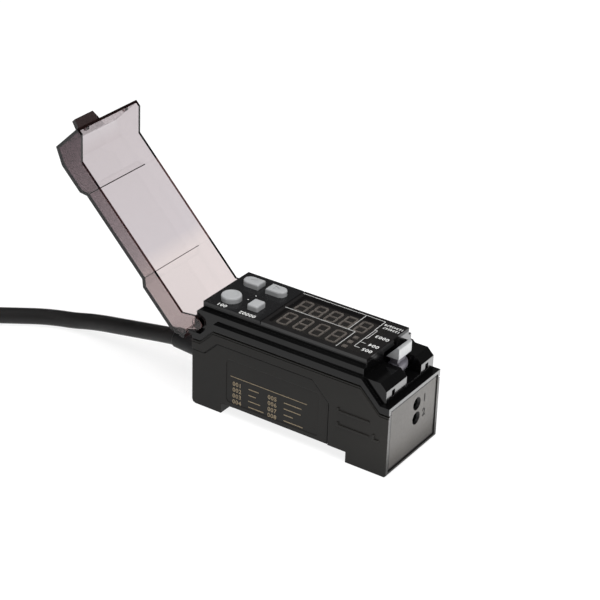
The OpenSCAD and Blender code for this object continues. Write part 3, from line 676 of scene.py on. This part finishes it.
# Painted shade in the cover's colour: darker towards the front, most on the label side's wall and the tab.
roof_painted_shade = ramp(tree, share.outputs["Result"], [
    (0.28, (1, 1, 1)), (0.35, (0.84, 0.86, 0.90)), (tab_start, (0.80, 0.81, 0.84)), (tab_full, tab_painted_shade)])
wall_painted_shade = ramp(tree, share.outputs["Result"], [
    (0.15, (0.68, 0.66, 0.66)), (0.5, (0.42, 0.38, 0.40)), (tab_start, (0.15, 0.11, 0.13)),
    (tab_full, tab_painted_shade)])
in_roof = past(tree, place, "Y", near_wall_y)
tree.links.new(two_tones(tree, in_roof, wall_painted_shade, roof_painted_shade), shader.inputs["Base Color"])
shader.inputs["Transmission Weight"].default_value = 1
shader.inputs["IOR"].default_value = 1.45
smoke = tree.nodes.new("ShaderNodeVolumeAbsorption")
smoke.inputs["Color"].default_value = (0.57, 0.44, 0.43, 1)
smoke.inputs["Density"].default_value = 1000
tree.links.new(smoke.outputs["Volume"], tree.nodes["Material Output"].inputs["Volume"])
dress("cover", cover_smoke)

# The part stands on a white table. The table glows for the camera, also through clear plastic and in a
# gloss, so that it stays white there, and keeps a faint shadow. The glow rises to full white away from
# the part. To all other rays the table is a plain grey.
floor_reach = 6
floor_gap = 0.02 * mm
floor_mesh = bmesh.new()
bmesh.ops.create_grid(floor_mesh, x_segments=1, y_segments=1, size=floor_reach)
bmesh.ops.translate(floor_mesh, verts=floor_mesh.verts, vec=(0, 0, feet_z - floor_gap))
floor_data = bpy.data.meshes.new("floor")
floor_mesh.to_mesh(floor_data)
floor_mesh.free()
floor = bpy.data.objects.new("floor", floor_data)
bpy.context.collection.objects.link(floor)


def seen_by(tree, *rays):
    """1 for the named kinds of ray, and 0 for all others."""
    path = tree.nodes.new("ShaderNodeLightPath")
    result = path.outputs[rays[0]]
    for ray in rays[1:]:
        either = tree.nodes.new("ShaderNodeMath")
        either.operation = "MAXIMUM"
        tree.links.new(result, either.inputs[0])
        tree.links.new(path.outputs[ray], either.inputs[1])
        result = either.outputs[0]
    return result


glow_near = 0.84
glow_far = 1
near_reach = 0.3
far_reach = 1.2
table_white, tree, shader, place = new_material("table_white")
shader.inputs["Base Color"].default_value = (0.3, 0.3, 0.3, 1)
shader.inputs["Roughness"].default_value = 0.9
shader.inputs["Specular IOR Level"].default_value = 0
seen_tone = tree.nodes.new("ShaderNodeBsdfDiffuse")
seen_tone.inputs["Color"].default_value = (0.2, 0.2, 0.2, 1)
glow = tree.nodes.new("ShaderNodeEmission")
away = tree.nodes.new("ShaderNodeVectorMath")
away.operation = "LENGTH"
tree.links.new(place, away.inputs[0])
brighter = tree.nodes.new("ShaderNodeMapRange")
brighter.inputs["From Min"].default_value = near_reach
brighter.inputs["From Max"].default_value = far_reach
brighter.inputs["To Min"].default_value = glow_near
brighter.inputs["To Max"].default_value = glow_far
tree.links.new(away.outputs["Value"], brighter.inputs["Value"])
tree.links.new(brighter.outputs["Result"], glow.inputs["Strength"])
seen = tree.nodes.new("ShaderNodeAddShader")
tree.links.new(seen_tone.outputs["BSDF"], seen.inputs[0])
tree.links.new(glow.outputs["Emission"], seen.inputs[1])
choose = tree.nodes.new("ShaderNodeMixShader")
shown = seen_by(tree, "Is Camera Ray", "Is Transmission Ray", "Is Glossy Ray")
tree.links.new(shown, choose.inputs["Fac"])
tree.links.new(shader.outputs["BSDF"], choose.inputs[1])
tree.links.new(seen.outputs["Shader"], choose.inputs[2])
tree.links.new(choose.outputs["Shader"], tree.nodes["Material Output"].inputs["Surface"])
floor_data.materials.append(table_white)

# The room is dim, with a white wall behind the table for the camera and through clear plastic. Soft lamps
# above and to both sides of the camera light the part evenly. The top one isn't mirrored, so that the
# black tops stay black.
wall_white = 1
room_light = 0.1
world = bpy.data.worlds.new("room")
bpy.context.scene.world = world
world.use_nodes = True
tree = world.node_tree
tree.nodes["Background"].inputs["Color"].default_value = (1, 1, 1, 1)
strength = tree.nodes.new("ShaderNodeMapRange")
strength.inputs["To Min"].default_value = room_light
strength.inputs["To Max"].default_value = wall_white
tree.links.new(seen_by(tree, "Is Camera Ray", "Is Transmission Ray"), strength.inputs["Value"])
tree.links.new(strength.outputs["Result"], tree.nodes["Background"].inputs["Strength"])


def soft_lamp(name, place, size, power):
    """A square soft light at a place, turned to the part."""
    data = bpy.data.lights.new(name, "AREA")
    data.shape = "SQUARE"
    data.size = size
    data.energy = power
    lamp = bpy.data.objects.new(name, data)
    lamp.location = place
    lamp.rotation_euler = (-Vector(place)).to_track_quat("-Z", "Y").to_euler()
    lamp.visible_camera = False
    bpy.context.collection.objects.link(lamp)
    return lamp


top_light = soft_lamp("top_light", (0.1, -0.1, 1.1), 0.9, 16)
top_light.visible_glossy = False
soft_lamp("front_light", (1.1, -0.2, 0.55), 0.6, 6)
soft_lamp("left_light", (-0.4, -1.0, 0.5), 0.5, 1.5)

# A flat bright panel lies on the table in front of the fibre end and faces up. The black end faces mirror
# it, and it lights nothing else, so that the shut cover's clear front stays clear.
bright_size = 0.2
bright_x = case_high[0] + bright_size / 2 + 4 * mm
bright_y = 40 * mm
bright_z = feet_z + 0.3 * mm
table_light = soft_lamp("table_light", (bright_x, bright_y, bright_z), bright_size, 0.4)
table_light.rotation_euler = (pi, 0, 0)
end_faces = bpy.data.collections.new("end_faces")
for node in ("lower_case", "upper_case", "end_plate", "lock_lever"):
    end_faces.objects.link(nodes[node])
table_light.light_linking.receiver_collection = end_faces

bpy.context.scene.view_settings.view_transform = "Standard"
